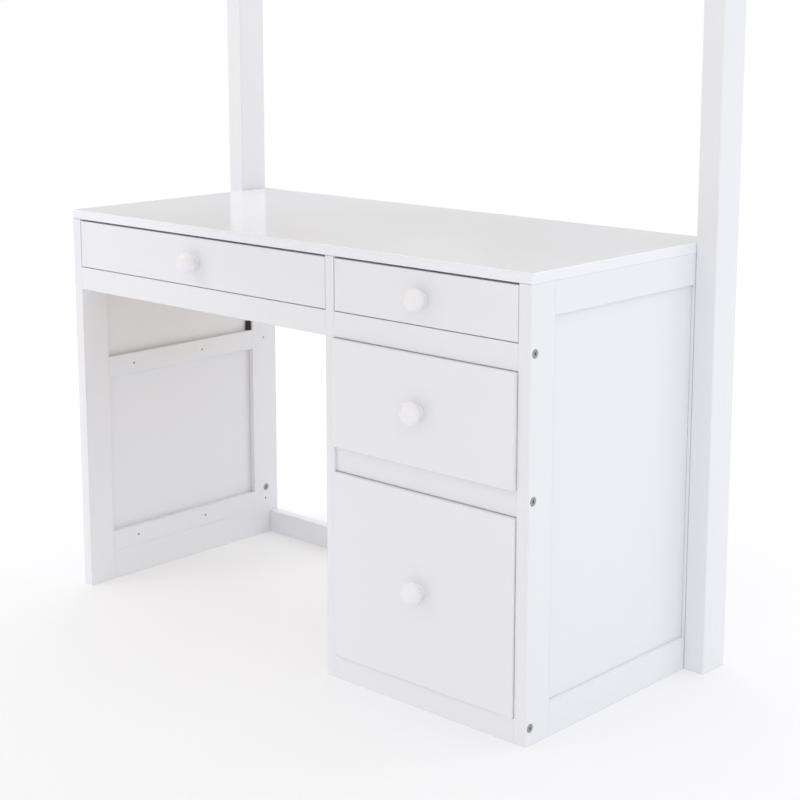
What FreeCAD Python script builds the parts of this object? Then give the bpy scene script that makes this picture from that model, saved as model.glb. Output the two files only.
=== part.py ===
import FreeCAD, Part
import math
import os
from FreeCAD import Vector

# Loft bed with a built-in desk, in painted wood.  Four posts carry a twin bed at head height.
# The desk stands under the bed's back end, between the two back posts, and is bolted to them.
# Frame: X across the bed, Y along it (the desk is at +Y and its drawers open towards -Y), Z up.
# Origin: on the floor, in the middle of the four posts.  All sizes are in millimetres.

# Overall sizes
CLEAR_WIDTH = 1050.0            # between the posts, across the bed; the desk fills it
BED_LENGTH = 2047.0             # over the posts, along the bed
POST_HEIGHT = 1700.0
DESK_HEIGHT = 700.0
DESK_DEPTH = 470.0

# Posts and bed boards
POST_WIDTH = 38.0               # across the bed
POST_DEPTH = 61.0               # along the bed
BOARD_THICKNESS = 22.0
RAIL_HEIGHT = 120.0
RAIL_BOTTOM = 1250.0            # underside of the bed's side and end rails
GUARD_HEIGHT = 70.0
GUARD_GAP = 80.0                # between a guard board and the board below it
GUARD_COUNT = 2
FOOT_RAIL_HEIGHT = 70.0
FOOT_RAIL_BOTTOM = 150.0
LEDGE_WIDTH = 22.0
LEDGE_HEIGHT = 30.0
LEDGE_RISE = 20.0               # ledge underside above the rail underside
SLAT_WIDTH = 65.0
SLAT_THICKNESS = 18.0
SLAT_COUNT = 14
SLAT_END_GAP = 2.0

# Ladder
LADDER_WIDTH = 400.0            # clear width of the rungs
RUNG_COUNT = 4
RUNG_HEIGHT = 28.0
RUNG_ROUND = 6.0
LAP_CLEARANCE = 0.5

# Desk carcass
TOP_THICKNESS = 16.0
FRAME_THICKNESS = 22.0          # side frames
FRONT_STILE = 54.0
SIDE_TOP_RAIL = 50.0
SIDE_BOTTOM_RAIL = 54.0
PANEL_SETBACK = 6.0             # panel face behind the frame's outer face
PANEL_THICKNESS = 5.0
PANEL_TONGUE = 6.0
GROOVE_CLEARANCE = 0.3
BATTEN_HEIGHT = 38.0
MIDDLE_BATTEN_RISE = 3.0        # above the pedestal's middle rail
PARTITION_THICKNESS = 18.0
PEDESTAL_OPENING = 367.0        # between the partition and the right side frame
FRONT_RAIL_THICKNESS = 20.0
BOTTOM_RAIL_HEIGHT = 38.0
FRONT_RAIL_HEIGHT = 40.0        # upper and middle rails
TOP_OPENING = 86.0              # height of the top drawers' openings
MIDDLE_OPENING = 175.0          # the bottom drawer takes what is left below it
MIDDLE_RAIL_SETBACK = 4.0
BACK_RAIL_HEIGHT = 80.0
STRETCHER_HEIGHT = 44.0
BACK_PANEL_THICKNESS = 5.0
BACK_PANEL_LIFT = 20.0
BLOCK_LENGTH = 9.0              # small dark corner block above the middle batten
BLOCK_HEIGHT = 18.0
BLOCK_THICKNESS = 6.0

# Drawers
FRONT_THICKNESS = 18.0
FRONT_SIDE_GAP = 1.2
FRONT_BOTTOM_GAP = 1.2
FRONT_TOP_GAP = 1.2
FRONT_TOP_GAP_UNDER_TOP = 3.0
MIDDLE_FRONT_PROUD = 8.0        # the middle and bottom fronts stand out from the frame
BOTTOM_FRONT_PROUD = 4.5
BOX_THICKNESS = 12.0
BOX_DEPTH = 400.0
BOX_BOTTOM_GAP = 4.0            # box underside above the opening's lower edge
BASE_THICKNESS = 5.0
BASE_RISE = 10.0
BASE_TONGUE = 6.0
BOX_TOP_GAP = 20.0              # box top below the opening's upper edge
SLIDE_SPACE = 12.5              # between a box side and the face that carries its slide
SLIDE_HEIGHT = 30.0
SLIDE_LENGTH = 400.0
SLIDE_FRONT = 24.0              # channel behind the desk's front face
BAR_INSET = 6.0                 # moving bar behind the drawer front
SLIDE_WALL = 1.4
CHANNEL_DEPTH = 11.0
BAR_HEIGHT = 20.0
BAR_DEPTH = 9.5
KNOB_DIAMETER = 36.0
KNOB_LENGTH = 32.0
KNOB_CAP = 24.0                 # the part of the length that the cap takes
KNOB_FOOT_DIAMETER = 24.0
KNOB_THROAT_DIAMETER = 16.0
KNOB_WAIST_DIAMETER = 17.0      # halfway up the flared foot
KNOB_UNDERSIDE = (0.72, 0.06)   # cap outline: shares of the cap's radius and of its length
KNOB_RIM = (1.0, 0.42)
KNOB_SHOULDER = (0.8, 0.78)

# Fasteners
DESK_BOLT = {"shank": 6.0, "head": 13.0, "head_thickness": 2.5, "length": 55.0}
SIDE_BOLT = {"shank": 6.0, "head": 13.0, "head_thickness": 2.5, "length": 50.0}
RAIL_BOLT = {"shank": 8.0, "head": 17.0, "head_thickness": 3.0, "length": 105.0}
CROSS_BOLT = {"shank": 8.0, "head": 17.0, "head_thickness": 3.0, "length": 80.0}
LAP_BOLT = {"shank": 8.0, "head": 17.0, "head_thickness": 3.0, "length": 34.0}
NUT_LENGTH = 10.0
NUT_WALL = 3.0                  # barrel nut radius beyond the bolt's hole
HOLE_CLEARANCE = 0.3
BOLT_END_CLEARANCE = 2.0
BOLT_STAGGER = 12.0             # bolts along the bed sit this far below board centre, cross bolts above
SOCKET_ACROSS = 5.0
SOCKET_DEPTH = 1.5
HEAD_EASE = 0.8
BOLTS_PER_RAIL = 2
FRONT_BOLT_INSET = 10.0         # bolt axis behind the desk's front face
RAIL_BOLT_RISE = 27.0
POST_BOLT_HEIGHT = 96.0
POST_BOLT_DROP = 90.0           # upper post bolt below the desk top's underside
PILOT_DIAMETER = 4.0
PILOT_DEPTH = 8.0
PILOT_PLACES = (112.0, 278.0, 438.0)
DOWEL_DIAMETER = 8.0
DOWEL_LENGTH = 30.0
DOWEL_IN_PARTITION = 8.0
DOWEL_IN_TOP = 10.0
DOWEL_SPACING = 20.0
KNOB_SCREW_DIAMETER = 4.0
KNOB_SCREW_HEAD = 8.0
KNOB_SCREW_HEAD_THICKNESS = 2.0

# Softened edges
EASE = 2.0
FRONT_EASE = 1.0
POST_EASE = 2.5

OVERSHOOT = 1.0                 # how far a cutting shape runs past the face that it opens
SAME_PLACE = 1e-6               # points closer than this are one point

X_AXIS = Vector(1, 0, 0)
Y_AXIS = Vector(0, 1, 0)
Z_AXIS = Vector(0, 0, 1)

# Places worked out from the sizes above
LEFT = -CLEAR_WIDTH / 2
RIGHT = CLEAR_WIDTH / 2
BACK = BED_LENGTH / 2
FRONT = -BED_LENGTH / 2
DESK_FRONT = BACK - DESK_DEPTH
UNDER_TOP = DESK_HEIGHT - TOP_THICKNESS
RAIL_TOP = RAIL_BOTTOM + RAIL_HEIGHT
GUARD_TOP = RAIL_TOP + GUARD_COUNT * (GUARD_GAP + GUARD_HEIGHT)
LEFT_INNER = LEFT + FRAME_THICKNESS
RIGHT_INNER = RIGHT - FRAME_THICKNESS
PARTITION_RIGHT = RIGHT_INNER - PEDESTAL_OPENING
PARTITION_LEFT = PARTITION_RIGHT - PARTITION_THICKNESS
BACK_STILE_FRONT = BACK - POST_DEPTH
UPPER_RAIL_TOP = UNDER_TOP - TOP_OPENING
UPPER_RAIL_BOTTOM = UPPER_RAIL_TOP - FRONT_RAIL_HEIGHT
MIDDLE_RAIL_TOP = UPPER_RAIL_BOTTOM - MIDDLE_OPENING
MIDDLE_RAIL_BOTTOM = MIDDLE_RAIL_TOP - FRONT_RAIL_HEIGHT
SIDE_RAIL_FRONT = FRONT + POST_DEPTH
SIDE_RAIL_BACK = BACK - POST_DEPTH
END_RAIL_SETBACK = (POST_DEPTH - BOARD_THICKNESS) / 2
UPRIGHT_FRONT = SIDE_RAIL_FRONT + LADDER_WIDTH
UPRIGHT_BACK = UPRIGHT_FRONT + POST_DEPTH
BATTEN_BOTTOMS = {
    "bottom": SIDE_BOTTOM_RAIL,
    "middle": MIDDLE_RAIL_TOP + MIDDLE_BATTEN_RISE,
    "top": UNDER_TOP - SIDE_TOP_RAIL - BATTEN_HEIGHT,
}

solids = {}
cutters = {}


def add(node, *shapes):
    solids.setdefault(node, []).extend(shapes)


def cut_from(nodes, shape):
    for node in nodes:
        cutters.setdefault(node, []).append(shape)


def board(x, y, z):
    """A plain board between two limits on each axis."""
    corner = Vector(min(x), min(y), min(z))
    return Part.makeBox(abs(x[1] - x[0]), abs(y[1] - y[0]), abs(z[1] - z[0]), corner)


def edges_on(shape, **planes):
    """Edges whose two ends lie on all the planes given, such as x=0.0, z=20.0."""
    found = []
    for edge in shape.Edges:
        ends = [vertex.Point for vertex in edge.Vertexes]
        places = [(getattr(end, axis), place) for end in ends for axis, place in planes.items()]
        if all(abs(actual - place) < SAME_PLACE for actual, place in places):
            found.append(edge)
    return found


def eased(shape, radius, *corners):
    """The shape with the edges at the named corners rounded."""
    picked = []
    for corner in corners:
        picked.extend(edges_on(shape, **corner))
    return shape.makeFillet(radius, picked)


def rod(start, way, length, diameter):
    return Part.makeCylinder(diameter / 2, length, start, way)


def hexagon_bar(start, way, length, across):
    """A hexagonal bar, as cut by the socket of a bolt head."""
    points = [Vector(across / math.sqrt(3), 0, 0)]
    turn = FreeCAD.Rotation(Z_AXIS, 60)
    for _ in range(6):
        points.append(turn.multVec(points[-1]))
    points[-1] = points[0]
    bar = Part.Face(Part.makePolygon(points)).extrude(Vector(0, 0, length))
    bar.Placement = FreeCAD.Placement(start, FreeCAD.Rotation(Z_AXIS, way))
    return bar


def fasten(node, kind, head, way, drilled, nut_way=None, nut_node=None):
    """A socket-head bolt from `head` along `way`, its holes, and its barrel nut if it has one.

    The head sits flush in a counterbore.  `nut_way` points from the nut to the face it goes in by.
    """
    shank = kind["shank"]
    thickness = kind["head_thickness"]
    length = kind["length"]
    cap = rod(head, way, thickness, kind["head"])
    closed = [edge for edge in cap.Edges if edge.Closed]
    rim = [edge for edge in closed if edge.CenterOfMass.distanceToPoint(head) < SAME_PLACE]
    cap = cap.makeFillet(HEAD_EASE, rim)
    before = head - way * OVERSHOOT
    socket = hexagon_bar(before, way, SOCKET_DEPTH + OVERSHOOT, SOCKET_ACROSS)
    bolt = cap.cut(socket).fuse(rod(head + way * thickness, way, length - thickness, shank))
    add(node, bolt.removeSplitter())
    sink = rod(before, way, thickness + OVERSHOOT, kind["head"] + 2 * HOLE_CLEARANCE)
    bore = rod(head, way, length + BOLT_END_CLEARANCE, shank + 2 * HOLE_CLEARANCE)
    cut_from(drilled, sink)
    cut_from(drilled, bore)
    if nut_way is None:
        return
    diameter = shank + 2 * (HOLE_CLEARANCE + NUT_WALL)
    middle = head + way * (length - diameter)
    nut = rod(middle - nut_way * (NUT_LENGTH / 2), nut_way, NUT_LENGTH, diameter)
    add(nut_node, nut.cut(bore))
    start = middle - nut_way * (NUT_LENGTH / 2 + HOLE_CLEARANCE)
    cut_from(drilled, rod(start, nut_way, POST_DEPTH, diameter + 2 * HOLE_CLEARANCE))


# ---- Bed ----

def make_posts():
    for row, y in (("front", FRONT), ("back", SIDE_RAIL_BACK)):
        for side, x in (("left", LEFT - POST_WIDTH), ("right", RIGHT)):
            xs = (x, x + POST_WIDTH)
            ys = (y, y + POST_DEPTH)
            post = board(xs, ys, (0, POST_HEIGHT))
            corners = [{"x": a, "y": b} for a in xs for b in ys]
            corners += [{"x": a, "z": POST_HEIGHT} for a in xs]
            corners += [{"y": b, "z": POST_HEIGHT} for b in ys]
            add("post_" + row + "_" + side, eased(post, POST_EASE, *corners))


def long_board(x, y, z):
    """A bed board that runs along Y, with its four long edges eased."""
    shape = board(x, y, z)
    return eased(shape, EASE, *[{"x": a, "z": b} for a in x for b in z])


def cross_board(x, y, z):
    """A bed board that runs along X, with its four long edges eased."""
    shape = board(x, y, z)
    return eased(shape, EASE, *[{"y": a, "z": b} for a in y for b in z])


def guard_heights():
    first = RAIL_TOP + GUARD_GAP
    return [first + n * (GUARD_GAP + GUARD_HEIGHT) for n in range(GUARD_COUNT)]


def bolt_rows(bottom, height, count, shift):
    """Heights of `count` bolts spread evenly up a board, all moved by `shift`."""
    return [bottom + height * (n + 0.5) / count + shift for n in range(count)]


def make_long_sides():
    """Side rails and their guard boards; the right-hand guard starts at the ladder."""
    for side, face, outward in (("left", LEFT, -1), ("right", RIGHT, 1)):
        xs = (face, face + outward * BOARD_THICKNESS)
        start = UPRIGHT_BACK if side == "right" else SIDE_RAIL_FRONT
        front_post = "ladder_upright" if side == "right" else "post_front_left"
        rail = "side_rail_" + side
        guard = "guard_boards_" + side
        add(rail, long_board(xs, (SIDE_RAIL_FRONT, SIDE_RAIL_BACK), (RAIL_BOTTOM, RAIL_TOP)))
        middle = face + outward * BOARD_THICKNESS / 2
        inward = X_AXIS * -outward
        for z in bolt_rows(RAIL_BOTTOM, RAIL_HEIGHT, BOLTS_PER_RAIL, -BOLT_STAGGER):
            head = Vector(middle, FRONT, z)
            drilled = ["post_front_" + side, rail]
            fasten("bed_bolts", RAIL_BOLT, head, Y_AXIS, drilled, inward, "barrel_nuts")
            head = Vector(middle, BACK, z)
            drilled = ["post_back_" + side, rail]
            fasten("bed_bolts", RAIL_BOLT, head, -Y_AXIS, drilled, inward, "barrel_nuts")
        for z0 in guard_heights():
            add(guard, long_board(xs, (start, SIDE_RAIL_BACK), (z0, z0 + GUARD_HEIGHT)))
            z = z0 + GUARD_HEIGHT / 2 - BOLT_STAGGER
            head = Vector(middle, BACK, z)
            drilled = ["post_back_" + side, guard]
            fasten("bed_bolts", RAIL_BOLT, head, -Y_AXIS, drilled, inward, "barrel_nuts")
            head = Vector(middle, start - POST_DEPTH, z)
            fasten("bed_bolts", RAIL_BOLT, head, Y_AXIS, [front_post, guard], inward, "barrel_nuts")


def make_bed_ends():
    """End rails, end guard boards and the low rail between the two front posts."""
    for row, y, inward in (("front", FRONT + END_RAIL_SETBACK, 1), ("back", BACK - END_RAIL_SETBACK, -1)):
        ys = (y, y + inward * BOARD_THICKNESS)
        boards = [("end_rails", RAIL_BOTTOM, RAIL_HEIGHT, BOLTS_PER_RAIL)]
        boards += [("guard_boards_ends", z0, GUARD_HEIGHT, 1) for z0 in guard_heights()]
        if row == "front":
            boards.append(("foot_rail", FOOT_RAIL_BOTTOM, FOOT_RAIL_HEIGHT, 1))
        middle = y + inward * BOARD_THICKNESS / 2
        for node, bottom, height, rows in boards:
            add(node, cross_board((LEFT, RIGHT), ys, (bottom, bottom + height)))
            for z in bolt_rows(bottom, height, rows, BOLT_STAGGER):
                for side, face, way in (("left", LEFT - POST_WIDTH, 1), ("right", RIGHT + POST_WIDTH, -1)):
                    post = "post_" + row + "_" + side
                    head = Vector(face, middle, z)
                    nut_way = Y_AXIS * inward
                    fasten("bed_bolts", CROSS_BOLT, head, X_AXIS * way, [post, node], nut_way, "barrel_nuts")


def make_slats():
    """Two ledges along the side rails, and slats lying on them."""
    z = RAIL_BOTTOM + LEDGE_RISE
    for face, inward in ((LEFT, 1), (RIGHT, -1)):
        xs = (face, face + inward * LEDGE_WIDTH)
        add("slat_ledges", board(xs, (SIDE_RAIL_FRONT, SIDE_RAIL_BACK), (z, z + LEDGE_HEIGHT)))
    z += LEDGE_HEIGHT
    xs = (LEFT + SLAT_END_GAP, RIGHT - SLAT_END_GAP)
    space = SIDE_RAIL_BACK - SIDE_RAIL_FRONT
    gap = (space - SLAT_COUNT * SLAT_WIDTH) / (SLAT_COUNT + 1)
    for n in range(SLAT_COUNT):
        y = SIDE_RAIL_FRONT + gap + n * (gap + SLAT_WIDTH)
        add("bed_slats", cross_board(xs, (y, y + SLAT_WIDTH), (z, z + SLAT_THICKNESS)))


def make_ladder():
    """An upright lapped over the right side rail, and rungs between it and the front post."""
    xs = (RIGHT, RIGHT + POST_WIDTH)
    ys = (UPRIGHT_FRONT, UPRIGHT_BACK)
    upright = board(xs, ys, (0, GUARD_TOP))
    upright = eased(upright, POST_EASE, *[{"x": a, "y": b} for a in xs for b in ys])
    lap_x = (RIGHT - OVERSHOOT, RIGHT + BOARD_THICKNESS + LAP_CLEARANCE)
    lap_z = (RAIL_BOTTOM - LAP_CLEARANCE, RAIL_TOP + LAP_CLEARANCE)
    add("ladder_upright", upright.cut(board(lap_x, (ys[0] - OVERSHOOT, ys[1] + OVERSHOOT), lap_z)))
    for z in bolt_rows(RAIL_BOTTOM, RAIL_HEIGHT, BOLTS_PER_RAIL, 0.0):
        head = Vector(xs[1], (ys[0] + ys[1]) / 2, z)
        fasten("bed_bolts", LAP_BOLT, head, -X_AXIS, ["ladder_upright", "side_rail_right"])
    spacing = RAIL_BOTTOM / (RUNG_COUNT + 1)
    middle = (xs[0] + xs[1]) / 2
    for n in range(RUNG_COUNT):
        z = spacing * (n + 1)
        zs = (z - RUNG_HEIGHT / 2, z + RUNG_HEIGHT / 2)
        rung = board(xs, (SIDE_RAIL_FRONT, UPRIGHT_FRONT), zs)
        add("ladder_rungs", eased(rung, RUNG_ROUND, *[{"x": a, "z": b} for a in xs for b in zs]))
        for y, way, post in ((FRONT, 1, "post_front_right"), (UPRIGHT_BACK, -1, "ladder_upright")):
            head = Vector(middle, y, z)
            drilled = [post, "ladder_rungs"]
            fasten("bed_bolts", RAIL_BOLT, head, Y_AXIS * way, drilled, -X_AXIS, "barrel_nuts")


# ---- Desk carcass ----

def depth_span(outer, inward, near, far):
    """X limits of a layer of a side frame, measured inward from its outer face."""
    return (outer + inward * near, outer + inward * far)


def make_side_frame(side, outer, inward):
    """A frame of two stiles and two rails, a panel in its grooves, and battens for the slides."""
    xs = depth_span(outer, inward, 0, FRAME_THICKNESS)
    front = (DESK_FRONT, DESK_FRONT + FRONT_STILE)
    back = (BACK_STILE_FRONT, BACK)
    between = (front[1], back[0])
    top = (UNDER_TOP - SIDE_TOP_RAIL, UNDER_TOP)
    bottom = (0, SIDE_BOTTOM_RAIL)
    stile = eased(board(xs, front, (0, UNDER_TOP)), EASE, {"x": outer, "y": DESK_FRONT})
    add(side + "_front_stile", stile)
    add(side + "_back_stile", board(xs, back, (0, UNDER_TOP)))
    add(side + "_top_rail", board(xs, between, top))
    add(side + "_bottom_rail", board(xs, between, bottom))
    tongue = PANEL_TONGUE
    panel_x = depth_span(outer, inward, PANEL_SETBACK, PANEL_SETBACK + PANEL_THICKNESS)
    panel_y = (between[0] - tongue, between[1] + tongue)
    panel_z = (bottom[1] - tongue, top[0] + tongue)
    add("side_panels", board(panel_x, panel_y, panel_z))
    near = PANEL_SETBACK - GROOVE_CLEARANCE
    far = PANEL_SETBACK + PANEL_THICKNESS + GROOVE_CLEARANCE
    groove_x = depth_span(outer, inward, near, far)
    groove_y = (panel_y[0] - GROOVE_CLEARANCE, panel_y[1] + GROOVE_CLEARANCE)
    groove_z = (panel_z[0] - GROOVE_CLEARANCE, panel_z[1] + GROOVE_CLEARANCE)
    framing = [side + name for name in ("_front_stile", "_back_stile", "_top_rail", "_bottom_rail")]
    cut_from(framing, board(groove_x, groove_y, groove_z))
    batten_x = depth_span(outer, inward, far, FRAME_THICKNESS)
    for z in BATTEN_BOTTOMS.values():
        add("slide_battens", board(batten_x, between, (z, z + BATTEN_HEIGHT)))
    block_x = depth_span(outer, inward, far, far + BLOCK_THICKNESS)
    block_y = (between[1] - BLOCK_LENGTH, between[1])
    block_z = BATTEN_BOTTOMS["middle"] + BATTEN_HEIGHT
    add("corner_blocks", board(block_x, block_y, (block_z, block_z + BLOCK_HEIGHT)))
    for name in ("bottom", "middle"):
        z = BATTEN_BOTTOMS[name] + BATTEN_HEIGHT / 2
        for place in PILOT_PLACES:
            start = Vector(xs[1], DESK_FRONT + place, z)
            mouth = start + X_AXIS * (inward * OVERSHOOT)
            hole = rod(mouth, X_AXIS * -inward, PILOT_DEPTH + OVERSHOOT, PILOT_DIAMETER)
            cut_from(["slide_battens", side + "_back_stile"], hole)
    for z in (POST_BOLT_HEIGHT, UNDER_TOP - POST_BOLT_DROP):
        head = Vector(xs[1], BACK - POST_DEPTH / 2, z)
        drilled = [side + "_back_stile", "post_back_" + side]
        fasten("desk_bolts", SIDE_BOLT, head, X_AXIS * -inward, drilled)


def make_front_rails():
    """The rails between the drawers, bolted through the front stiles and dowelled to the partition."""
    ys = (DESK_FRONT, DESK_FRONT + FRONT_RAIL_THICKNESS)
    set_back = (ys[0] + MIDDLE_RAIL_SETBACK, ys[1] + MIDDLE_RAIL_SETBACK)
    upper = (UPPER_RAIL_BOTTOM, UPPER_RAIL_TOP)
    middle = (MIDDLE_RAIL_BOTTOM, MIDDLE_RAIL_TOP)
    right = (PARTITION_RIGHT, RIGHT_INNER)
    rails = (
        ("kneehole_rail", "left", (LEFT_INNER, PARTITION_LEFT), ys, upper),
        ("pedestal_upper_rail", "right", right, ys, upper),
        ("pedestal_middle_rail", "right", right, set_back, middle),
        ("pedestal_bottom_rail", "right", right, ys, (0, BOTTOM_RAIL_HEIGHT)),
    )
    for node, side, x, y, z in rails:
        outer = LEFT if side == "left" else RIGHT
        way = X_AXIS if side == "left" else -X_AXIS
        add(node, board(x, y, z))
        head = Vector(outer, DESK_FRONT + FRONT_BOLT_INSET, z[0] + RAIL_BOLT_RISE)
        fasten("desk_bolts", DESK_BOLT, head, way, [side + "_front_stile", node], Y_AXIS, "barrel_nuts")
        partition_face = PARTITION_LEFT if side == "left" else PARTITION_RIGHT
        start = Vector(partition_face, (y[0] + y[1]) / 2, (z[0] + z[1]) / 2) + way * DOWEL_IN_PARTITION
        for offset in (-DOWEL_SPACING / 2, DOWEL_SPACING / 2):
            add_dowel(start + Z_AXIS * offset, -way, [node, "partition"])


def add_dowel(start, way, drilled):
    """A hardwood dowel and the blind hole that it sits in."""
    add("desk_dowels", rod(start, way, DOWEL_LENGTH, DOWEL_DIAMETER))
    clearance = way * HOLE_CLEARANCE
    length = DOWEL_LENGTH + 2 * HOLE_CLEARANCE
    cut_from(drilled, rod(start - clearance, way, length, DOWEL_DIAMETER + 2 * HOLE_CLEARANCE))


def make_carcass():
    """Desk top, partition, back rail, stretcher and the pedestal's back panel."""
    top = board((LEFT, RIGHT), (DESK_FRONT, BACK), (UNDER_TOP, DESK_HEIGHT))
    corners = [{"y": DESK_FRONT, "z": DESK_HEIGHT}, {"y": DESK_FRONT, "z": UNDER_TOP}]
    corners += [{"x": LEFT, "z": DESK_HEIGHT}, {"x": RIGHT, "z": DESK_HEIGHT}]
    corners += [{"x": LEFT, "y": DESK_FRONT}, {"x": RIGHT, "y": DESK_FRONT}]
    add("desk_top", eased(top, EASE, *corners))
    add("partition", board((PARTITION_LEFT, PARTITION_RIGHT), (DESK_FRONT, BACK), (0, UNDER_TOP)))
    xs = (LEFT_INNER, PARTITION_LEFT)
    ys = (BACK - FRONT_RAIL_THICKNESS, BACK)
    add("desk_back_rail", board(xs, ys, (UNDER_TOP - BACK_RAIL_HEIGHT, UNDER_TOP)))
    stretcher = board(xs, ys, (0, STRETCHER_HEIGHT))
    add("back_stretcher", eased(stretcher, EASE, {"y": ys[0], "z": STRETCHER_HEIGHT}))
    xs = (PARTITION_RIGHT, RIGHT_INNER)
    ys = (BACK - BACK_PANEL_THICKNESS, BACK)
    add("pedestal_back_panel", board(xs, ys, (BACK_PANEL_LIFT, UNDER_TOP)))
    middle_of = {
        "left_front_stile": (LEFT + FRAME_THICKNESS / 2, DESK_FRONT + FRONT_STILE / 2),
        "left_back_stile": (LEFT + FRAME_THICKNESS / 2, BACK - POST_DEPTH / 2),
        "right_front_stile": (RIGHT - FRAME_THICKNESS / 2, DESK_FRONT + FRONT_STILE / 2),
        "right_back_stile": (RIGHT - FRAME_THICKNESS / 2, BACK - POST_DEPTH / 2),
        "partition": (PARTITION_LEFT + PARTITION_THICKNESS / 2, DESK_FRONT + DESK_DEPTH / 2),
    }
    for node, (x, y) in middle_of.items():
        add_dowel(Vector(x, y, UNDER_TOP + DOWEL_IN_TOP), -Z_AXIS, [node, "desk_top"])


# ---- Drawers ----

def channel(face, way, z):
    """The fixed C-shaped member of a ball-bearing slide, open towards the drawer."""
    zs = (z - SLIDE_HEIGHT / 2, z + SLIDE_HEIGHT / 2)
    ys = (DESK_FRONT + SLIDE_FRONT, DESK_FRONT + SLIDE_FRONT + SLIDE_LENGTH)
    block = board((face, face + way * CHANNEL_DEPTH), ys, zs)
    inside = (face + way * SLIDE_WALL, face + way * (CHANNEL_DEPTH + OVERSHOOT))
    through = (ys[0] - OVERSHOOT, ys[1] + OVERSHOOT)
    hollow = board(inside, through, (zs[0] + SLIDE_WALL, zs[1] - SLIDE_WALL))
    return block.cut(hollow)


def slide_bar(face, way, box_y, z):
    """The moving member of a slide, fixed to the drawer side and running inside the channel."""
    zs = (z - BAR_HEIGHT / 2, z + BAR_HEIGHT / 2)
    ys = (box_y[0] + BAR_INSET, box_y[1] - BAR_INSET)
    return board((face, face + way * BAR_DEPTH), ys, zs)


def make_knob(x, face, z):
    """A turned mushroom knob, revolved about its own axis: flared foot, round rim, domed crown."""
    neck = KNOB_LENGTH - KNOB_CAP
    foot = Vector(KNOB_FOOT_DIAMETER / 2, 0, 0)
    waist = Vector(KNOB_WAIST_DIAMETER / 2, 0, neck / 2)
    throat = Vector(KNOB_THROAT_DIAMETER / 2, 0, neck)
    cap_outline = []
    for width, rise in (KNOB_UNDERSIDE, KNOB_RIM, KNOB_SHOULDER):
        cap_outline.append(Vector(width * KNOB_DIAMETER / 2, 0, neck + rise * KNOB_CAP))
    underside, rim, shoulder = cap_outline
    tip = Vector(0, 0, KNOB_LENGTH)
    rise = tip.z - shoulder.z
    crown_radius = (shoulder.x ** 2 + rise ** 2) / (2 * rise)
    half_turn = math.asin(shoulder.x / crown_radius) / 2
    crown_drop = crown_radius * (1 - math.cos(half_turn))
    crown = Vector(crown_radius * math.sin(half_turn), 0, KNOB_LENGTH - crown_drop)
    outline = Part.Wire([
        Part.makeLine(Vector(0, 0, 0), foot),
        Part.Arc(foot, waist, throat).toShape(),
        Part.makeLine(throat, underside),
        Part.Arc(underside, rim, shoulder).toShape(),
        Part.Arc(shoulder, crown, tip).toShape(),
        Part.makeLine(tip, Vector(0, 0, 0)),
    ])
    knob = Part.Face(outline).revolve(Vector(0, 0, 0), Z_AXIS, 360)
    knob.Placement = FreeCAD.Placement(Vector(x, face, z), FreeCAD.Rotation(Z_AXIS, -Y_AXIS))
    return knob


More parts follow.
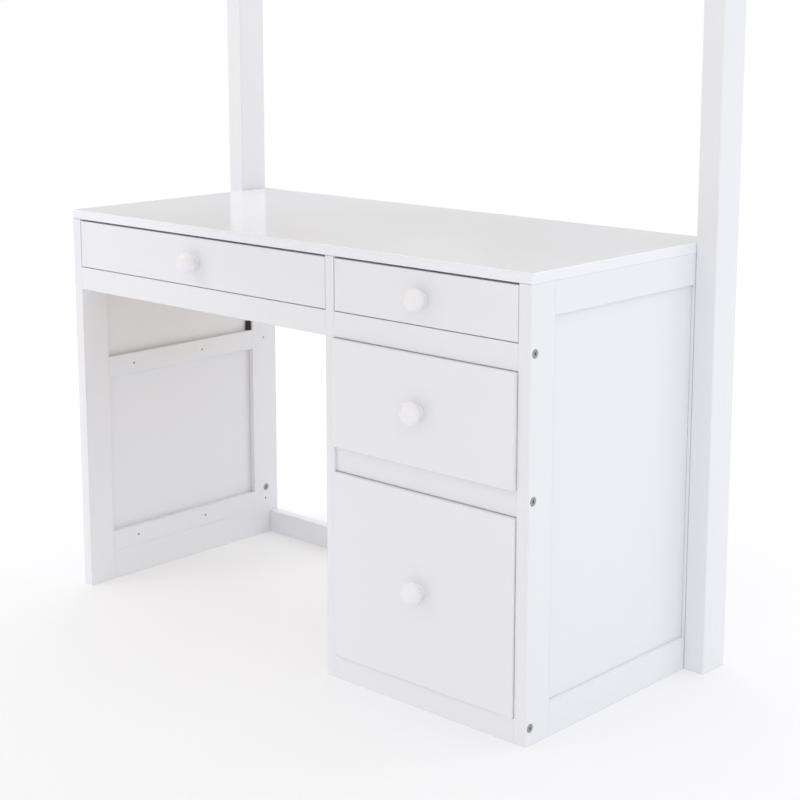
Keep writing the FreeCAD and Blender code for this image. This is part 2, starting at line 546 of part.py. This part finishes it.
def make_drawer(name, x, z, slide_z, proud, top_gap):
    """A drawer in the opening x by z: front, box, base, knob and the two moving slide bars."""
    front_face = DESK_FRONT - proud
    front_x = (x[0] + FRONT_SIDE_GAP, x[1] - FRONT_SIDE_GAP)
    front_z = (z[0] + FRONT_BOTTOM_GAP, z[1] - top_gap)
    front_back = front_face + FRONT_THICKNESS
    front = board(front_x, (front_face, front_back), front_z)
    corners = [{"x": a, "y": front_face} for a in front_x]
    corners += [{"y": front_face, "z": b} for b in front_z]
    add(name + "_drawer_front", eased(front, FRONT_EASE, *corners))

    box_x = (x[0] + SLIDE_SPACE, x[1] - SLIDE_SPACE)
    box_y = (front_back, front_back + BOX_DEPTH)
    box_z = (z[0] + BOX_BOTTOM_GAP, z[1] - BOX_TOP_GAP)
    box = name + "_drawer_box"
    add(box, board((box_x[0], box_x[0] + BOX_THICKNESS), box_y, box_z))
    add(box, board((box_x[1] - BOX_THICKNESS, box_x[1]), box_y, box_z))
    inner_x = (box_x[0] + BOX_THICKNESS, box_x[1] - BOX_THICKNESS)
    add(box, board(inner_x, (box_y[1] - BOX_THICKNESS, box_y[1]), box_z))

    base_x = (inner_x[0] - BASE_TONGUE, inner_x[1] + BASE_TONGUE)
    base_y = (front_back - BASE_TONGUE, box_y[1] - BOX_THICKNESS + BASE_TONGUE)
    base_z = (box_z[0] + BASE_RISE, box_z[0] + BASE_RISE + BASE_THICKNESS)
    add(name + "_drawer_base", board(base_x, base_y, base_z))
    groove_x = (base_x[0] - GROOVE_CLEARANCE, base_x[1] + GROOVE_CLEARANCE)
    groove_y = (base_y[0] - GROOVE_CLEARANCE, base_y[1] + GROOVE_CLEARANCE)
    groove_z = (base_z[0] - GROOVE_CLEARANCE, base_z[1] + GROOVE_CLEARANCE)
    cut_from([name + "_drawer_front", box], board(groove_x, groove_y, groove_z))

    middle = (front_x[0] + front_x[1]) / 2
    height = (front_z[0] + front_z[1]) / 2
    knob = make_knob(middle, front_face, height)
    head = Vector(middle, front_back + KNOB_SCREW_HEAD_THICKNESS, height)
    screw = rod(head, -Y_AXIS, KNOB_SCREW_HEAD_THICKNESS, KNOB_SCREW_HEAD)
    shank_length = FRONT_THICKNESS + KNOB_SCREW_HEAD_THICKNESS + KNOB_LENGTH / 2
    screw = screw.fuse(rod(head, -Y_AXIS, shank_length, KNOB_SCREW_DIAMETER)).removeSplitter()
    hole = rod(head, -Y_AXIS, shank_length + HOLE_CLEARANCE, KNOB_SCREW_DIAMETER + 2 * HOLE_CLEARANCE)
    cut_from([name + "_drawer_front"], hole)
    add(name + "_drawer_knob", knob.cut(hole), screw)

    for opening_face, box_face, way in ((x[0], box_x[0], 1), (x[1], box_x[1], -1)):
        add("slide_channels", channel(opening_face, way, slide_z))
        add(name + "_drawer_slides", slide_bar(box_face, -way, box_y, slide_z))


def make_drawers():
    slide_z = {row: bottom + BATTEN_HEIGHT / 2 for row, bottom in BATTEN_BOTTOMS.items()}
    left = (LEFT_INNER, PARTITION_LEFT)
    right = (PARTITION_RIGHT, RIGHT_INNER)
    top = (UPPER_RAIL_TOP, UNDER_TOP)
    middle = (MIDDLE_RAIL_TOP, UPPER_RAIL_BOTTOM)
    bottom = (BOTTOM_RAIL_HEIGHT, MIDDLE_RAIL_BOTTOM)
    under = FRONT_TOP_GAP_UNDER_TOP
    make_drawer("left", left, top, slide_z["top"], 0.0, under)
    make_drawer("right", right, top, slide_z["top"], 0.0, under)
    make_drawer("middle", right, middle, slide_z["middle"], MIDDLE_FRONT_PROUD, FRONT_TOP_GAP)
    make_drawer("bottom", right, bottom, slide_z["bottom"], BOTTOM_FRONT_PROUD, FRONT_TOP_GAP)


def write_parts():
    """Cut every node's holes and grooves, and write each node to its own file."""
    os.makedirs("parts", exist_ok=True)
    for node, shapes in solids.items():
        finished = []
        for shape in shapes:
            near = [c for c in cutters.get(node, []) if c.BoundBox.intersect(shape.BoundBox)]
            finished.extend(shape.cut(near).Solids if near else [shape])
        whole = finished[0] if len(finished) == 1 else Part.makeCompound(finished)
        whole.exportStep("parts/" + node + ".step")


make_posts()
make_long_sides()
make_bed_ends()
make_slats()
make_ladder()
make_side_frame("left", LEFT, 1)
make_side_frame("right", RIGHT, -1)
make_front_rails()
make_carcass()
make_drawers()
write_parts()
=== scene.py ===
import math

import bmesh
import bpy
from mathutils import Matrix, Vector


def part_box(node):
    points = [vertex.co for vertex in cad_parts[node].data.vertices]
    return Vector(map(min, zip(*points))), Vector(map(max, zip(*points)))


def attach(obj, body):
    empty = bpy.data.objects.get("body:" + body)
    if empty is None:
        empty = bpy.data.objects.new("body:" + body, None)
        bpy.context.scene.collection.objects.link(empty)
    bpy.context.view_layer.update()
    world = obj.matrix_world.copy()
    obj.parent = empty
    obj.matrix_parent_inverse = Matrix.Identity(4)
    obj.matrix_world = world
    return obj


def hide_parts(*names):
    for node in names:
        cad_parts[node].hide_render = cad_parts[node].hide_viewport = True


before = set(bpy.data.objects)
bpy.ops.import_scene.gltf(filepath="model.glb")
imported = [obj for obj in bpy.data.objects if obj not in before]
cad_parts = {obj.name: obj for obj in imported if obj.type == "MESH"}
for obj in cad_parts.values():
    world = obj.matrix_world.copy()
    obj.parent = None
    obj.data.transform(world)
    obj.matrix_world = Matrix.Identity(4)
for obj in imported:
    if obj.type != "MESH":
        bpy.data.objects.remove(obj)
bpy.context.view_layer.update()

# ---- Camera ----
# It stands in front of the desk on its drawer side, lower than the bed, and looks slightly down
# on the desk top.  The lens is shifted a little, so that the uprights lean less.

desk_low, desk_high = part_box("desk_top")

EYE_FROM_DESK = Vector((2.528, -1.860, 1.087))   # from the foot of the desk's front left corner
TURN_LEFT = math.radians(42.881)
LOOK_DOWN = math.radians(10.278)
LENS_MM = 77.96
LENS_SHIFT = -0.12
FAR_CLIP = 5000.0            # past the far edge of the floor

camera_data = bpy.data.cameras.new("camera")
camera_data.lens = LENS_MM
camera_data.shift_y = LENS_SHIFT
camera_data.clip_end = FAR_CLIP
camera = bpy.data.objects.new("camera", camera_data)
camera.location = Vector((desk_low.x, desk_low.y, 0)) + EYE_FROM_DESK
camera.rotation_euler = (math.radians(90) - LOOK_DOWN, 0, TURN_LEFT)
bpy.context.collection.objects.link(camera)
bpy.context.scene.camera = camera
bpy.context.scene.view_settings.view_transform = "Standard"


# ---- Floor ----
# A matt white studio floor that runs on to the horizon.  It glows a little, so that it stays
# nearly white close to the desk, where the desk keeps the light off it.

FLOOR_HALF = 2000.0          # from the middle to an edge
FLOOR_ROUGHNESS = 0.9
FLOOR_SHINE = 0.1
FLOOR_GLOW = 0.303


def linear(hex_colour):
    """An sRGB hex colour as linear red, green, blue and alpha."""
    channels = [int(hex_colour[n:n + 2], 16) / 255 for n in (1, 3, 5)]
    curved = [c / 12.92 if c <= 0.04045 else ((c + 0.055) / 1.055) ** 2.4 for c in channels]
    return (*curved, 1.0)


def add_node(tree, kind, links=None, **settings):
    """Adds one node: settings are its properties or its sockets' values, links feed its sockets."""
    node = tree.nodes.new(kind)
    for name, value in settings.items():
        if hasattr(node, name):
            setattr(node, name, value)
        else:
            node.inputs[name.replace("_", " ")].default_value = value
    for socket, source in (links or {}).items():
        tree.links.new(source, node.inputs[socket])
    return node


def new_material(name, hex_colour, roughness):
    """A material whose Principled shader has one colour and one roughness."""
    material = bpy.data.materials.new(name)
    material.use_nodes = True
    tree = material.node_tree
    shader = tree.nodes["Principled BSDF"]
    shader.inputs["Base Color"].default_value = linear(hex_colour)
    shader.inputs["Roughness"].default_value = roughness
    return material, tree, shader


def new_piece(name, shape, material):
    """A finished object at the origin, from a bmesh whose place is already in its points."""
    mesh = bpy.data.meshes.new(name)
    shape.to_mesh(mesh)
    shape.free()
    mesh.materials.append(material)
    piece = bpy.data.objects.new(name, mesh)
    bpy.context.collection.objects.link(piece)
    return piece


floor_paint, tree, shader = new_material("matt_white_floor_paint", "#CFCFD2", FLOOR_ROUGHNESS)
shader.inputs["Specular IOR Level"].default_value = FLOOR_SHINE
shader.inputs["Emission Color"].default_value = linear("#FFFFFF")
shader.inputs["Emission Strength"].default_value = FLOOR_GLOW
shape = bmesh.new()
bmesh.ops.create_grid(shape, x_segments=1, y_segments=1, size=FLOOR_HALF)
new_piece("floor", shape, floor_paint)


# ---- Studio light ----
# A bright dome over a dimmer band, so that the glossy desk top mirrors the posts against a darker
# wall.  The wall turns white where it meets the floor.  A soft light comes from the front left,
# above, and two weak ones from behind.

FOOT_OF_WALL = 1.0           # brightness where the wall meets the floor
WALL = 0.5
DOME = 1.15
FOOT_ENDS = 0.09             # heights above the horizon, each as a sine
WALL_ENDS = 0.12
DOME_STARTS = 0.42
AIM_HEIGHT = 0.65            # where the lights point, as a share of the desk's height

world = bpy.data.worlds.new("studio")
world.use_nodes = True
tree = world.node_tree
tree.nodes["Background"].inputs["Color"].default_value = linear("#FFFFFF")
direction = add_node(tree, "ShaderNodeTexCoord")
height = add_node(tree, "ShaderNodeSeparateXYZ", {"Vector": direction.outputs["Generated"]})
sky = add_node(tree, "ShaderNodeMapRange", {"Value": height.outputs["Z"]}, interpolation_type="SMOOTHSTEP",
               From_Min=WALL_ENDS, From_Max=DOME_STARTS, To_Min=WALL, To_Max=DOME)
foot = add_node(tree, "ShaderNodeMapRange", {"Value": height.outputs["Z"]}, interpolation_type="SMOOTHSTEP",
                From_Min=0.0, From_Max=FOOT_ENDS, To_Min=FOOT_OF_WALL, To_Max=0.0)
room = add_node(tree, "ShaderNodeMath", {0: sky.outputs["Result"], 1: foot.outputs["Result"]},
                operation="MAXIMUM")
tree.links.new(room.outputs["Value"], tree.nodes["Background"].inputs["Strength"])
bpy.context.scene.world = world


def soft_light(name, place, size, power):
    """A square area light that faces the middle of the desk's front."""
    data = bpy.data.lights.new(name, "AREA")
    data.shape = "SQUARE"
    data.size = size
    data.energy = power
    light = bpy.data.objects.new(name, data)
    light.location = place
    target = Vector(((desk_low.x + desk_high.x) / 2, desk_low.y, desk_high.z * AIM_HEIGHT))
    light.rotation_euler = (target - Vector(place)).to_track_quat("-Z", "Y").to_euler()
    bpy.context.collection.objects.link(light)


soft_light("left_light", (-2.7, -3.15, 4.35), 1.2, 33.7)
soft_light("back_left_light", (-2.6, 3.4, 2.2), 1.0, 6.5)
soft_light("back_right_light", (2.4, 3.4, 2.2), 1.0, 5.5)


# ---- Posts, rails, guard boards and ladder ----
# Solid wood, planed, sanded and sprayed with satin white lacquer.  Hardly any grain shows: a faint
# ripple runs along each board, the spray leaves a fine orange peel, and edges are rubbed soft.

WHITE = "#EEEFF3"
SATIN = 0.38                 # roughness of the sprayed coat
SATIN_SPREAD = 0.04          # how far it drifts either way, in soft clouds
CLOUD_WIDTH = 0.333
GRAIN_WIDTH = 0.004
GRAIN_DRAWN_OUT = 0.03       # its frequency along a board, as a share of that across it
GRAIN_HEIGHT = 0.0004
GRAIN_STRENGTH = 0.08
PEEL_WIDTH = 0.0012
PEEL_HEIGHT = 0.0002
PEEL_STRENGTH = 0.1
RUBBED_EDGE = 0.0012


def white_lacquer(name, along, colour, roughness):
    """Sprayed satin lacquer, on a board whose grain runs along one axis or on plain MDF."""
    material, tree, shader = new_material(name, colour, roughness)
    place = add_node(tree, "ShaderNodeTexCoord")
    cloud = add_node(tree, "ShaderNodeTexNoise", {"Vector": place.outputs["Object"]},
                     Scale=1 / CLOUD_WIDTH, Detail=2.0)
    gloss = add_node(tree, "ShaderNodeMapRange", {"Value": cloud.outputs["Fac"]},
                     To_Min=roughness - SATIN_SPREAD, To_Max=roughness + SATIN_SPREAD)
    tree.links.new(gloss.outputs["Result"], shader.inputs["Roughness"])
    edge = add_node(tree, "ShaderNodeBevel", samples=4, Radius=RUBBED_EDGE)
    peel = add_node(tree, "ShaderNodeTexNoise", {"Vector": place.outputs["Object"]},
                    Scale=1 / PEEL_WIDTH, Detail=1.0)
    skin = add_node(tree, "ShaderNodeBump",
                    {"Height": peel.outputs["Fac"], "Normal": edge.outputs["Normal"]},
                    Strength=PEEL_STRENGTH, Distance=PEEL_HEIGHT)
    if along:
        stretch = [GRAIN_DRAWN_OUT if axis == along else 1.0 for axis in "XYZ"]
        turned = add_node(tree, "ShaderNodeMapping", {"Vector": place.outputs["Object"]}, Scale=stretch)
        grain = add_node(tree, "ShaderNodeTexNoise", {"Vector": turned.outputs["Vector"]},
                         Scale=1 / GRAIN_WIDTH, Detail=3.0)
        skin = add_node(tree, "ShaderNodeBump",
                        {"Height": grain.outputs["Fac"], "Normal": skin.outputs["Normal"]},
                        Strength=GRAIN_STRENGTH, Distance=GRAIN_HEIGHT)
    tree.links.new(skin.outputs["Normal"], shader.inputs["Normal"])
    return material


def paint(node, material):
    """Gives a CAD node its finish."""
    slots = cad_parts[node].data.materials
    slots.clear()
    slots.append(material)


lacquered_board = {}
for axis in "XYZ":
    lacquered_board[axis] = white_lacquer("white_lacquer_grain_" + axis.lower(), axis, WHITE, SATIN)
for post in ("back_left", "back_right", "front_left", "front_right"):
    paint("post_" + post, lacquered_board["Z"])
for side in ("left", "right"):
    paint("side_rail_" + side, lacquered_board["Y"])
    paint("guard_boards_" + side, lacquered_board["Y"])
for node in ("end_rails", "guard_boards_ends", "foot_rail"):
    paint(node, lacquered_board["X"])
paint("ladder_upright", lacquered_board["Z"])
paint("ladder_rungs", lacquered_board["Y"])


# ---- Desk frame ----
# Stiles and rails of solid wood, butted and lacquered like the bed.  Battens inside the two side
# frames carry the drawer slides, and their spare pilot holes are left open.

for side in ("left", "right"):
    for stile in ("_front_stile", "_back_stile"):
        paint(side + stile, lacquered_board["Z"])
    for rail in ("_top_rail", "_bottom_rail"):
        paint(side + rail, lacquered_board["Y"])
paint("slide_battens", lacquered_board["Y"])
for node in ("kneehole_rail", "pedestal_upper_rail", "pedestal_middle_rail", "pedestal_bottom_rail",
             "desk_back_rail", "back_stretcher"):
    paint(node, lacquered_board["X"])


# ---- Panels, partition and drawer fronts ----
# MDF and thin plywood.  The side panels sit in their frames' grooves, and the drawer fronts are
# screwed to their boxes.  All have the frame's lacquer but no grain, so they look quite smooth.

lacquered_panel = white_lacquer("white_lacquer_mdf", None, WHITE, SATIN)
for node in ("side_panels", "partition", "pedestal_back_panel"):
    paint(node, lacquered_panel)
DRAWERS = ("left", "right", "middle", "bottom")
for drawer in DRAWERS:
    paint(drawer + "_drawer_front", lacquered_panel)
    paint(drawer + "_drawer_box", lacquered_panel)


# ---- Desk top ----
# A 16 mm board with an extra coat, rubbed down between coats.  It is the glossiest face of the desk,
# and mirrors the foot of the left post.  Its colour is painted lighter and cooler than the other
# boards' lacquer, as painted light that offsets the bed's shade above it and the slats' warm bounce.

RUBBED_DOWN = 0.15           # roughness

# painted light: this colour is whiter and bluer than WHITE, to make up for the shade and warm bounce from the
# bed above
paint("desk_top", white_lacquer("white_lacquer_desk_top", None, "#F2F3F9", RUBBED_DOWN))


# ---- Slats and ledges ----
# Unpainted pine, planed on four sides: pale early wood with darker late-wood lines along each
# board.  The ledges are glued and screwed to the side rails, and the slats lie on them.

RING_WIDTH = 0.007
RING_DRAWN_OUT = 0.06        # frequency along a board, as a share of that across it
CLOUDS_PER_RING = 0.35       # one cloud of the noise folds into about three rings
RING_SWING = 0.08            # how far the noise climbs before the fold turns it back
LATE_WOOD = 0.085            # just past the swing, so the lines are never quite their darkest
FIBRE_WIDTH = 0.0011
FIBRE_HEIGHT = 0.0003
FIBRE_STRENGTH = 0.2
PLANED = 0.6                 # roughness


def planed_wood(name, along, pale, dark):
    """Planed softwood or beech whose grain runs along one axis."""
    material, tree, shader = new_material(name, pale, PLANED)
    place = add_node(tree, "ShaderNodeTexCoord")
    stretch = [RING_DRAWN_OUT if axis == along else 1.0 for axis in "XYZ"]
    turned = add_node(tree, "ShaderNodeMapping", {"Vector": place.outputs["Object"]}, Scale=stretch)
    wander = add_node(tree, "ShaderNodeTexNoise", {"Vector": turned.outputs["Vector"]},
                      Scale=CLOUDS_PER_RING / RING_WIDTH, Detail=2.0, Distortion=0.6)
    rings = add_node(tree, "ShaderNodeMath", {0: wander.outputs["Fac"]}, operation="PINGPONG")
    rings.inputs[1].default_value = RING_SWING
    late_wood = add_node(tree, "ShaderNodeValToRGB", {"Fac": rings.outputs["Value"]})
    late_wood.color_ramp.elements[0].color = linear(pale)
    late_wood.color_ramp.elements[1].position = LATE_WOOD
    late_wood.color_ramp.elements[1].color = linear(dark)
    tree.links.new(late_wood.outputs["Color"], shader.inputs["Base Color"])
    fibre = add_node(tree, "ShaderNodeTexNoise", {"Vector": turned.outputs["Vector"]},
                     Scale=1 / FIBRE_WIDTH, Detail=2.0)
    rough = add_node(tree, "ShaderNodeBump", {"Height": fibre.outputs["Fac"]},
                     Strength=FIBRE_STRENGTH, Distance=FIBRE_HEIGHT)
    tree.links.new(rough.outputs["Normal"], shader.inputs["Normal"])
    return material


paint("bed_slats", planed_wood("planed_pine_slats", "X", "#EADFC8", "#D6BE94"))
paint("slat_ledges", planed_wood("planed_pine_ledges", "Y", "#EADFC8", "#D6BE94"))


# ---- Drawer bases and dowels ----
# The bases are 5 mm birch plywood, sanded and left bare: close-grained, with a wavy figure from
# rotary cutting.  The dowels are turned beech, hidden in their joints.

FIGURE_WIDTH = 0.035
FIGURE_DRAWN_OUT = 0.12
DARK_FIGURE = 0.35           # where the figure is fully dark and fully pale, out of 1
PALE_FIGURE = 0.65
SANDED = 0.55                # roughness

birch, tree, shader = new_material("sanded_birch_plywood", "#E2CBA3", SANDED)
place = add_node(tree, "ShaderNodeTexCoord")
turned = add_node(tree, "ShaderNodeMapping", {"Vector": place.outputs["Object"]},
                  Scale=(1.0, FIGURE_DRAWN_OUT, 1.0))
figure = add_node(tree, "ShaderNodeTexNoise", {"Vector": turned.outputs["Vector"]},
                  Scale=1 / FIGURE_WIDTH, Detail=5.0, Distortion=1.2)
veneer = add_node(tree, "ShaderNodeValToRGB", {"Fac": figure.outputs["Fac"]})
veneer.color_ramp.elements[0].position = DARK_FIGURE
veneer.color_ramp.elements[0].color = linear("#D3B78A")
veneer.color_ramp.elements[1].position = PALE_FIGURE
veneer.color_ramp.elements[1].color = linear("#E8D3AE")
tree.links.new(veneer.outputs["Color"], shader.inputs["Base Color"])
for drawer in DRAWERS:
    paint(drawer + "_drawer_base", birch)
paint("desk_dowels", planed_wood("turned_beech", "Z", "#D9B48A", "#C39A6C"))


# ---- Bolts and barrel nuts ----
# Turned steel with a bright zinc coat: mid grey, a little cloudy, and worn duller in patches.
# The bolts go through posts and stiles into barrel nuts, and hold the bed and the desk together.

PATINA_WIDTH = 0.004
BRIGHTER = 0.08              # how far the roughness falls in bright patches
DULLER = 0.1                 # and rises in dull ones
BOLT_ROUGHNESS = 0.4


def zinc_plate(name, colour, roughness):
    """Bright zinc on steel, with cloudy patches of duller metal."""
    material, tree, shader = new_material(name, colour, roughness)
    shader.inputs["Metallic"].default_value = 1.0
    place = add_node(tree, "ShaderNodeTexCoord")
    patina = add_node(tree, "ShaderNodeTexNoise", {"Vector": place.outputs["Object"]},
                      Scale=1 / PATINA_WIDTH, Detail=3.0)
    gloss = add_node(tree, "ShaderNodeMapRange", {"Value": patina.outputs["Fac"]},
                     To_Min=roughness - BRIGHTER, To_Max=roughness + DULLER)
    tree.links.new(gloss.outputs["Result"], shader.inputs["Roughness"])
    return material


bolt_zinc = zinc_plate("zinc_plated_bolts", "#A6A7AA", BOLT_ROUGHNESS)
for node in ("bed_bolts", "desk_bolts", "barrel_nuts"):
    paint(node, bolt_zinc)


# ---- Drawer slides ----
# Ball-bearing slides rolled from steel strip: a channel screwed inside the desk and a bar on each
# side of each drawer.  Bright zinc, with fine lines along them from rolling.

SLIDE_ROUGHNESS = 0.35
ROLLED_LINE = 0.0008
LINE_DRAWN_OUT = 0.01
LINE_HEIGHT = 0.0001
LINE_STRENGTH = 0.1

rolled_zinc = zinc_plate("rolled_zinc_slides", "#B4B6B8", SLIDE_ROUGHNESS)
tree = rolled_zinc.node_tree
shader = tree.nodes["Principled BSDF"]
place = add_node(tree, "ShaderNodeTexCoord")
turned = add_node(tree, "ShaderNodeMapping", {"Vector": place.outputs["Object"]},
                  Scale=(1.0, LINE_DRAWN_OUT, 1.0))
lines = add_node(tree, "ShaderNodeTexNoise", {"Vector": turned.outputs["Vector"]},
                 Scale=1 / ROLLED_LINE, Detail=1.0)
bump = add_node(tree, "ShaderNodeBump", {"Height": lines.outputs["Fac"]},
                Strength=LINE_STRENGTH, Distance=LINE_HEIGHT)
tree.links.new(bump.outputs["Normal"], shader.inputs["Normal"])
paint("slide_channels", rolled_zinc)
for drawer in DRAWERS:
    paint(drawer + "_drawer_slides", rolled_zinc)


# ---- Corner blocks ----
# Two small moulded blocks of black plastic, set in the corners above the middle battens.  Their
# textured mould leaves a fine sparkle.

MOULD_GRAIN = 0.0007
MOULD_DEPTH = 0.0002
MOULD_STRENGTH = 0.15
MOULDED = 0.5                # roughness

black_plastic, tree, shader = new_material("moulded_black_plastic", "#151516", MOULDED)
place = add_node(tree, "ShaderNodeTexCoord")
pits = add_node(tree, "ShaderNodeTexNoise", {"Vector": place.outputs["Object"]},
                Scale=1 / MOULD_GRAIN, Detail=1.0)
bump = add_node(tree, "ShaderNodeBump", {"Height": pits.outputs["Fac"]},
                Strength=MOULD_STRENGTH, Distance=MOULD_DEPTH)
tree.links.new(bump.outputs["Normal"], shader.inputs["Normal"])
paint("corner_blocks", black_plastic)


# ---- Knobs ----
# Mushroom knobs turned from beech and lacquered white, so they are rounder and a little glossier
# than the boards: a flared foot, a narrow throat and a fat domed cap.

FOOT_RADIUS = 0.012
FOOT_LIP = 0.0010
THROAT_RADIUS = 0.008
CAP_LENGTH = 0.024
RIM_AT = 0.42                # where the cap is widest, as a share of its length
KNOB_SIDES = 64
FLARE_STEPS = 8
UNDERSIDE_STEPS = 10
DOME_STEPS = 14
WELD_DISTANCE = 1e-6
TURNED_SHEEN = 0.3           # roughness

lacquered_knob = white_lacquer("white_lacquer_turned", None, "#F4F3F7", TURNED_SHEEN)


def quarter_round(start, end, steps, climbs_first=False):
    """Points on a quarter of an ellipse, which leaves its start sideways, or upwards if it climbs first."""
    points = []
    for n in range(1, steps + 1):
        turn = math.pi / 2 * n / steps
        across, up = math.sin(turn), 1 - math.cos(turn)
        if climbs_first:
            across, up = 1 - math.cos(turn), math.sin(turn)
        points.append((start[0] + (end[0] - start[0]) * across, start[1] + (end[1] - start[1]) * up))
    return points


def turned_shape(outline, steps):
    """An outline of (radius, reach) points spun about a line that runs towards -Y."""
    shape = bmesh.new()
    points = [shape.verts.new((radius, -reach, 0)) for radius, reach in outline]
    edges = [shape.edges.new(pair) for pair in zip(points, points[1:])]
    bmesh.ops.spin(shape, geom=points + edges, cent=(0, 0, 0), axis=(0, 1, 0),
                   angle=math.tau, steps=steps, use_merge=True)
    bmesh.ops.remove_doubles(shape, verts=shape.verts, dist=WELD_DISTANCE)
    bmesh.ops.recalc_face_normals(shape, faces=shape.faces)
    for face in shape.faces:
        face.smooth = True
    return shape


for drawer in DRAWERS:
    front_low, front_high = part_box(drawer + "_drawer_front")
    knob_low, knob_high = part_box(drawer + "_drawer_knob")
    radius = (knob_high.x - knob_low.x) / 2
    length = front_low.y - knob_low.y
    neck = length - CAP_LENGTH
    rim = (radius, neck + CAP_LENGTH * RIM_AT)
    outline = [(0, 0), (FOOT_RADIUS, 0), (FOOT_RADIUS, FOOT_LIP)]
    outline += quarter_round((FOOT_RADIUS, FOOT_LIP), (THROAT_RADIUS, neck), FLARE_STEPS)
    outline += quarter_round((THROAT_RADIUS, neck), rim, UNDERSIDE_STEPS)
    outline += quarter_round(rim, (0, length), DOME_STEPS, climbs_first=True)
    shape = turned_shape(outline, KNOB_SIDES)
    middle = Vector(((knob_low.x + knob_high.x) / 2, front_low.y, (knob_low.z + knob_high.z) / 2))
    bmesh.ops.translate(shape, verts=shape.verts, vec=middle)
    knob = new_piece(drawer + "_knob", shape, lacquered_knob)
    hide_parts(drawer + "_drawer_knob")
    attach(knob, drawer + "_drawer")


# ---- Screws ----
# Pan-head steel screws with a cross recess, bright zinc.  One holds each knob from inside its
# drawer, and one holds each end of each slat to its ledge.

SCREW_HEAD_RADIUS = 0.004
SCREW_HEAD_HEIGHT = 0.0022
SCREW_HEAD_SIDES = 12
HEAD_STEPS = ((1.0, 0.55), (0.8, 1.0))   # shares of the radius and the height
RECESS_REACH = 0.6           # of the head's radius
RECESS_CORNER = 0.35         # the cross's inner corners, as a share of its reach
RECESS_DEPTH = 0.0014
NEAR_DIAGONAL = 10           # degrees; the head's points that become inner corners
SCREW_ROUGHNESS = 0.35

screw_zinc = zinc_plate("zinc_plated_screws", "#B7B8BA", SCREW_ROUGHNESS)


def add_screw_head(shape, place, facing):
    """Adds a pan head that stands at `place` and faces along `facing`."""
    made = bmesh.ops.create_circle(shape, cap_ends=True, segments=SCREW_HEAD_SIDES, radius=SCREW_HEAD_RADIUS)
    half_side = Matrix.Rotation(math.pi / SCREW_HEAD_SIDES, 3, "Z")
    bmesh.ops.rotate(shape, verts=made["verts"], cent=(0, 0, 0), matrix=half_side)
    top = made["verts"][0].link_faces[0]
    bottom_ring = list(top.verts)
    for width, height in HEAD_STEPS:
        lifted = bmesh.ops.extrude_face_region(shape, geom=[top])["geom"]
        bmesh.ops.delete(shape, geom=[top], context="FACES_ONLY")
        top = next(item for item in lifted if isinstance(item, bmesh.types.BMFace))
        for vertex in top.verts:
            flat = Vector((vertex.co.x, vertex.co.y)).normalized() * SCREW_HEAD_RADIUS * width
            vertex.co = (flat.x, flat.y, SCREW_HEAD_HEIGHT * height)
    for depth in (0.0, RECESS_DEPTH):
        lifted = bmesh.ops.extrude_face_region(shape, geom=[top])["geom"]
        bmesh.ops.delete(shape, geom=[top], context="FACES_ONLY")
        top = next(item for item in lifted if isinstance(item, bmesh.types.BMFace))
        for vertex in top.verts:
            quarter = math.degrees(math.atan2(vertex.co.y, vertex.co.x)) % 90
            corner = RECESS_CORNER if abs(quarter - 45) < NEAR_DIAGONAL else 1.0
            flat = Vector((vertex.co.x, vertex.co.y)).normalized() * SCREW_HEAD_RADIUS * RECESS_REACH * corner
            vertex.co = (flat.x, flat.y, SCREW_HEAD_HEIGHT - depth)
    # everything joined to the recess is this head, and the other heads stay where they are
    reached = set(top.verts)
    grow = list(top.verts)
    while grow:
        for edge in grow.pop().link_edges:
            for vertex in edge.verts:
                if vertex not in reached:
                    reached.add(vertex)
                    grow.append(vertex)
    shape.faces.new(reversed(bottom_ring))
    turn = Vector((0, 0, 1)).rotation_difference(facing).to_matrix().to_4x4()
    bmesh.ops.transform(shape, matrix=Matrix.Translation(place) @ turn, verts=list(reached))


def screws(name, places, facing, body):
    """One piece that holds all the screw heads of a kind."""
    shape = bmesh.new()
    for place in places:
        add_screw_head(shape, place, facing)
    bmesh.ops.recalc_face_normals(shape, faces=shape.faces)
    piece = new_piece(name, shape, screw_zinc)
    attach(piece, body)


for drawer in DRAWERS:
    front_low, front_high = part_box(drawer + "_drawer_front")
    middle = (front_low + front_high) / 2
    place = Vector((middle.x, front_high.y, middle.z))
    screws(drawer + "_knob_screw", [place], Vector((0, 1, 0)), drawer + "_drawer")

SCREW_FROM_SLAT_END = 0.011
TOP_FACE_WITHIN = 1e-5

slats_low, slats_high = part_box("bed_slats")
slat_tops = bmesh.new()
slat_tops.from_mesh(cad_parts["bed_slats"].data)
high = [vertex.co.y for vertex in slat_tops.verts if vertex.co.z > slats_high.z - TOP_FACE_WITHIN]
slat_tops.free()
slat_lines = sorted({round(y, 4) for y in high})      # two for each slat, its near and far edge
places = []
for near, far in zip(slat_lines[::2], slat_lines[1::2]):
    for x in (slats_low.x + SCREW_FROM_SLAT_END, slats_high.x - SCREW_FROM_SLAT_END):
        places.append(Vector((x, (near + far) / 2, slats_high.z)))
screws("slat_screws", places, Vector((0, 0, 1)), "root")
